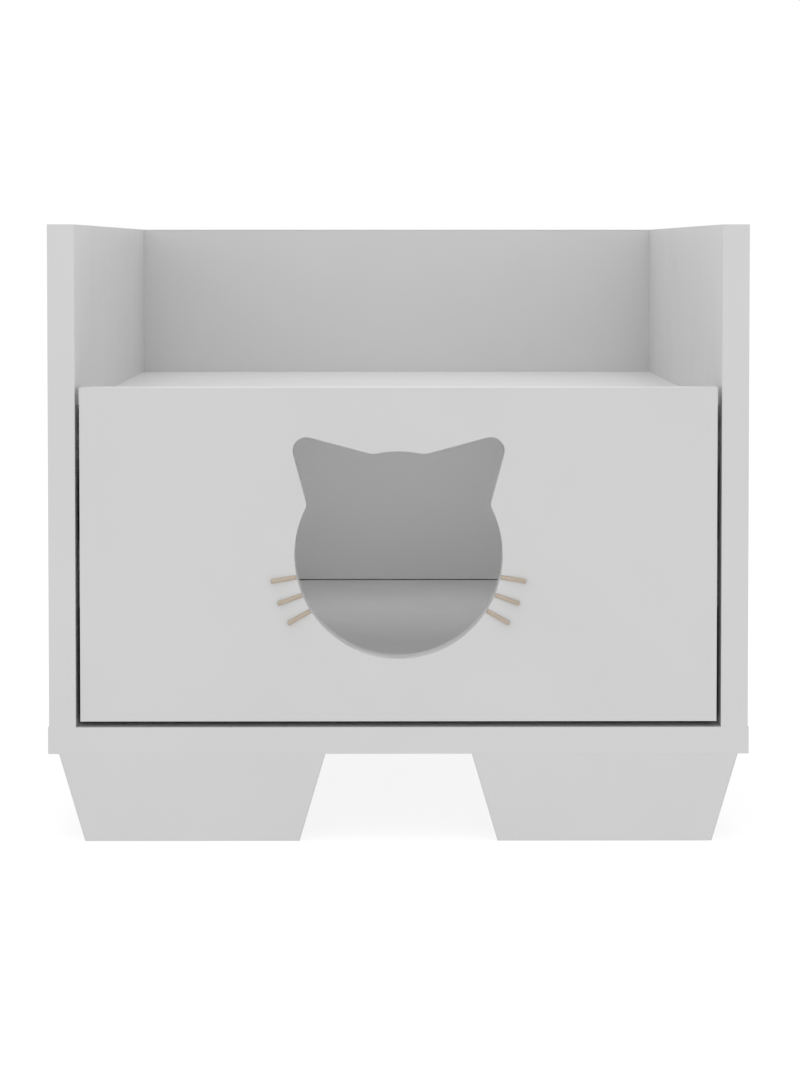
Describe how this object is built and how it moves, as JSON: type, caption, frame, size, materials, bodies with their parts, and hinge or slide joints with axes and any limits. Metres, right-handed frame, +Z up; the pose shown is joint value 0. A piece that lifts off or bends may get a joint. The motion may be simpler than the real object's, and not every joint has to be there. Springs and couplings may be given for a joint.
{
  "type": "cat bed with drawer",
  "caption": "White bedside cabinet on trapezoid feet with an open top niche and a sliding drawer that is a cat's bed, entered through a cat-head cut-out with wooden whiskers.",
  "frame": {"origin": "on the floor, under the middle of the cabinet", "axes": "+Z up, -Y out of the drawer front, +X to the viewer's right"},
  "size_m": [0.4714, 0.4534, 0.415],
  "materials": {
    "white_board": "matte white melamine on particle board",
    "edge_band": "matte white edge band",
    "screw_steel": "zinc plated",
    "dowel_beech": "raw beech",
    "cam_zinc": "die-cast zinc",
    "cap_plastic": "moulded white",
    "soft_rubber": "matte",
    "rail_steel": "zinc plated",
    "cage_steel": "pressed sheet, oiled",
    "ball_steel": "polished",
    "whisker_wood": "raw light wood"
  },
  "bodies": {
    "cabinet": {"left_side_panel": "white_board", "right_side_panel": "white_board", "bottom_panel": "white_board", "back_panel": "white_board", "shelf_panel": "white_board", "left_side_edge_bands": "edge_band", "right_side_edge_bands": "edge_band", "bottom_edge_bands": "edge_band", "back_edge_band": "edge_band", "shelf_edge_band": "edge_band", "front_left_foot": "white_board", "front_right_foot": "white_board", "rear_left_foot": "white_board", "rear_right_foot": "white_board", "foot_edge_bands": "edge_band", "bottom_confirmat_screws": "screw_steel", "cabinet_dowels": "dowel_beech", "foot_dowels": "dowel_beech", "cabinet_cam_locks": "cam_zinc", "cabinet_cam_bolts": "screw_steel", "cabinet_cam_caps": "cap_plastic", "shelf_buffers": "soft_rubber", "left_cabinet_rail": "rail_steel", "right_cabinet_rail": "rail_steel", "cabinet_rail_screws": "screw_steel", "rail_stops": "soft_rubber"},
    "drawer": {"drawer_front": "white_board", "drawer_left_side": "white_board", "drawer_right_side": "white_board", "drawer_back": "white_board", "drawer_floor": "white_board", "drawer_front_edge_bands": "edge_band", "drawer_box_edge_bands": "edge_band", "left_drawer_rail": "rail_steel", "right_drawer_rail": "rail_steel", "drawer_rail_screws": "screw_steel", "drawer_cam_locks": "cam_zinc", "drawer_cam_bolts": "screw_steel", "drawer_cam_caps": "cap_plastic", "drawer_confirmat_screws": "screw_steel", "drawer_dowels": "dowel_beech", "left_upper_whisker": "whisker_wood", "left_middle_whisker": "whisker_wood", "left_lower_whisker": "whisker_wood", "right_upper_whisker": "whisker_wood", "right_middle_whisker": "whisker_wood", "right_lower_whisker": "whisker_wood"},
    "left_runner_middle": {"left_middle_rail": "rail_steel"},
    "left_runner_outer_cage": {"left_outer_ball_cage": "cage_steel", "left_outer_balls": "ball_steel"},
    "left_runner_inner_cage": {"left_inner_ball_cage": "cage_steel", "left_inner_balls": "ball_steel"},
    "right_runner_middle": {"right_middle_rail": "rail_steel"},
    "right_runner_outer_cage": {"right_outer_ball_cage": "cage_steel", "right_outer_balls": "ball_steel"},
    "right_runner_inner_cage": {"right_inner_ball_cage": "cage_steel", "right_inner_balls": "ball_steel"}
  },
  "joints": [
    {"name": "drawer_slide", "type": "slide", "parent": "cabinet", "child": "drawer", "axis": [0, -1, 0], "range_m": [0, 0.4]},
    {"name": "left_middle_slide", "type": "slide", "parent": "cabinet", "child": "left_runner_middle", "axis": [0, -1, 0], "range_m": [0, 0.201]},
    {"name": "left_outer_cage_slide", "type": "slide", "parent": "cabinet", "child": "left_runner_outer_cage", "axis": [0, -1, 0], "range_m": [0, 0.101]},
    {"name": "left_inner_cage_slide", "type": "slide", "parent": "cabinet", "child": "left_runner_inner_cage", "axis": [0, -1, 0], "range_m": [0, 0.301]},
    {"name": "right_middle_slide", "type": "slide", "parent": "cabinet", "child": "right_runner_middle", "axis": [0, -1, 0], "range_m": [0, 0.201]},
    {"name": "right_outer_cage_slide", "type": "slide", "parent": "cabinet", "child": "right_runner_outer_cage", "axis": [0, -1, 0], "range_m": [0, 0.101]},
    {"name": "right_inner_cage_slide", "type": "slide", "parent": "cabinet", "child": "right_runner_inner_cage", "axis": [0, -1, 0], "range_m": [0, 0.301]}
  ],
  "couplings": [
    {"joint": "left_middle_slide", "follows": "drawer_slide", "ratio": 0.5},
    {"joint": "left_outer_cage_slide", "follows": "drawer_slide", "ratio": 0.25},
    {"joint": "left_inner_cage_slide", "follows": "drawer_slide", "ratio": 0.75},
    {"joint": "right_middle_slide", "follows": "drawer_slide", "ratio": 0.5},
    {"joint": "right_outer_cage_slide", "follows": "drawer_slide", "ratio": 0.25},
    {"joint": "right_inner_cage_slide", "follows": "drawer_slide", "ratio": 0.75}
  ]
}
